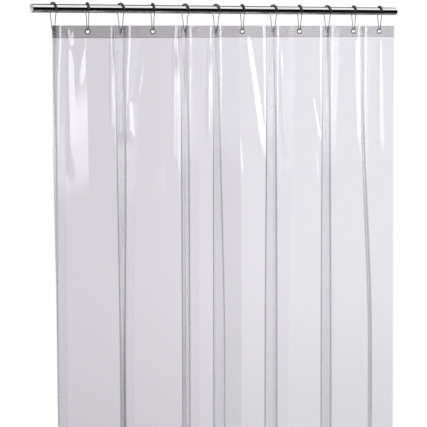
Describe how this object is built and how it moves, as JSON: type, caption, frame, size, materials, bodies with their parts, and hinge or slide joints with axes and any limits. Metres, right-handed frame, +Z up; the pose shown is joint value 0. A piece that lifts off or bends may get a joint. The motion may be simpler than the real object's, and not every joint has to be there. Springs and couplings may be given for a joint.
{
  "type": "shower curtain",
  "caption": "Clear vinyl shower curtain with a reinforced header and metal grommets, hung in flat pleats from a straight chrome rod by beaded roller rings.",
  "frame": {"origin": "on the rod's axis at mid-length, midway between the two wall sockets that hold it", "axes": "+X along the rod to the viewer's right, -Y to the room side where the eyelets' flanges are, +Z up"},
  "size_m": [1.352, 0.1141, 1.8965],
  "materials": {
    "rod_chrome": "polished",
    "clear_vinyl": "clear, glossy",
    "header_vinyl": "greyish, slightly frosted",
    "ring_chrome": "polished",
    "bead_chrome": "polished",
    "grommet_nickel": "bright"
  },
  "bodies": {
    "rod": {"rod_tube": "rod_chrome"},
    "curtain": {"curtain_panel": "clear_vinyl", "header_band": "header_vinyl", "ring_wire_01": "ring_chrome", "ring_beads_01": "bead_chrome", "grommet_eyelet_01": "grommet_nickel", "grommet_washer_01": "grommet_nickel"},
    "ring_02": {"ring_wire_02": "ring_chrome", "ring_beads_02": "bead_chrome", "grommet_eyelet_02": "grommet_nickel", "grommet_washer_02": "grommet_nickel"},
    "ring_03": {"ring_wire_03": "ring_chrome", "ring_beads_03": "bead_chrome", "grommet_eyelet_03": "grommet_nickel", "grommet_washer_03": "grommet_nickel"},
    "ring_04": {"ring_wire_04": "ring_chrome", "ring_beads_04": "bead_chrome", "grommet_eyelet_04": "grommet_nickel", "grommet_washer_04": "grommet_nickel"},
    "ring_05": {"ring_wire_05": "ring_chrome", "ring_beads_05": "bead_chrome", "grommet_eyelet_05": "grommet_nickel", "grommet_washer_05": "grommet_nickel"},
    "ring_06": {"ring_wire_06": "ring_chrome", "ring_beads_06": "bead_chrome", "grommet_eyelet_06": "grommet_nickel", "grommet_washer_06": "grommet_nickel"},
    "ring_07": {"ring_wire_07": "ring_chrome", "ring_beads_07": "bead_chrome", "grommet_eyelet_07": "grommet_nickel", "grommet_washer_07": "grommet_nickel"},
    "ring_08": {"ring_wire_08": "ring_chrome", "ring_beads_08": "bead_chrome", "grommet_eyelet_08": "grommet_nickel", "grommet_washer_08": "grommet_nickel"},
    "ring_09": {"ring_wire_09": "ring_chrome", "ring_beads_09": "bead_chrome", "grommet_eyelet_09": "grommet_nickel", "grommet_washer_09": "grommet_nickel"},
    "ring_10": {"ring_wire_10": "ring_chrome", "ring_beads_10": "bead_chrome", "grommet_eyelet_10": "grommet_nickel", "grommet_washer_10": "grommet_nickel"},
    "ring_11": {"ring_wire_11": "ring_chrome", "ring_beads_11": "bead_chrome", "grommet_eyelet_11": "grommet_nickel", "grommet_washer_11": "grommet_nickel"},
    "ring_12": {"ring_wire_12": "ring_chrome", "ring_beads_12": "bead_chrome", "grommet_eyelet_12": "grommet_nickel", "grommet_washer_12": "grommet_nickel"}
  },
  "joints": [
    {"name": "curtain_swing", "type": "hinge", "parent": "rod", "child": "curtain", "pos_m": [0, 0, 0], "axis": [1, 0, 0], "range_deg": [-25, 25]},
    {"name": "ring_02_slide", "type": "slide", "parent": "curtain", "child": "ring_02", "axis": [1, 0, 0], "range_m": [-0.083, 0]},
    {"name": "ring_03_slide", "type": "slide", "parent": "curtain", "child": "ring_03", "axis": [1, 0, 0], "range_m": [-0.1658, 0]},
    {"name": "ring_04_slide", "type": "slide", "parent": "curtain", "child": "ring_04", "axis": [1, 0, 0], "range_m": [-0.248, 0]},
    {"name": "ring_05_slide", "type": "slide", "parent": "curtain", "child": "ring_05", "axis": [1, 0, 0], "range_m": [-0.3338, 0]},
    {"name": "ring_06_slide", "type": "slide", "parent": "curtain", "child": "ring_06", "axis": [1, 0, 0], "range_m": [-0.4182, 0]},
    {"name": "ring_07_slide", "type": "slide", "parent": "curtain", "child": "ring_07", "axis": [1, 0, 0], "range_m": [-0.4921, 0]},
    {"name": "ring_08_slide", "type": "slide", "parent": "curtain", "child": "ring_08", "axis": [1, 0, 0], "range_m": [-0.5817, 0]},
    {"name": "ring_09_slide", "type": "slide", "parent": "curtain", "child": "ring_09", "axis": [1, 0, 0], "range_m": [-0.6601, 0]},
    {"name": "ring_10_slide", "type": "slide", "parent": "curtain", "child": "ring_10", "axis": [1, 0, 0], "range_m": [-0.7445, 0]},
    {"name": "ring_11_slide", "type": "slide", "parent": "curtain", "child": "ring_11", "axis": [1, 0, 0], "range_m": [-0.8281, 0]},
    {"name": "ring_12_slide", "type": "slide", "parent": "curtain", "child": "ring_12", "axis": [1, 0, 0], "range_m": [-0.9116, 0], "deforming": ["curtain_panel", "header_band"]}
  ],
  "couplings": [
    {"joint": "ring_02_slide", "follows": "ring_12_slide", "ratio": 0.090909},
    {"joint": "ring_03_slide", "follows": "ring_12_slide", "ratio": 0.18182},
    {"joint": "ring_04_slide", "follows": "ring_12_slide", "ratio": 0.2719},
    {"joint": "ring_05_slide", "follows": "ring_12_slide", "ratio": 0.36611},
    {"joint": "ring_06_slide", "follows": "ring_12_slide", "ratio": 0.45866},
    {"joint": "ring_07_slide", "follows": "ring_12_slide", "ratio": 0.5397},
    {"joint": "ring_08_slide", "follows": "ring_12_slide", "ratio": 0.63801},
    {"joint": "ring_09_slide", "follows": "ring_12_slide", "ratio": 0.72398},
    {"joint": "ring_10_slide", "follows": "ring_12_slide", "ratio": 0.81654},
    {"joint": "ring_11_slide", "follows": "ring_12_slide", "ratio": 0.90827}
  ]
}
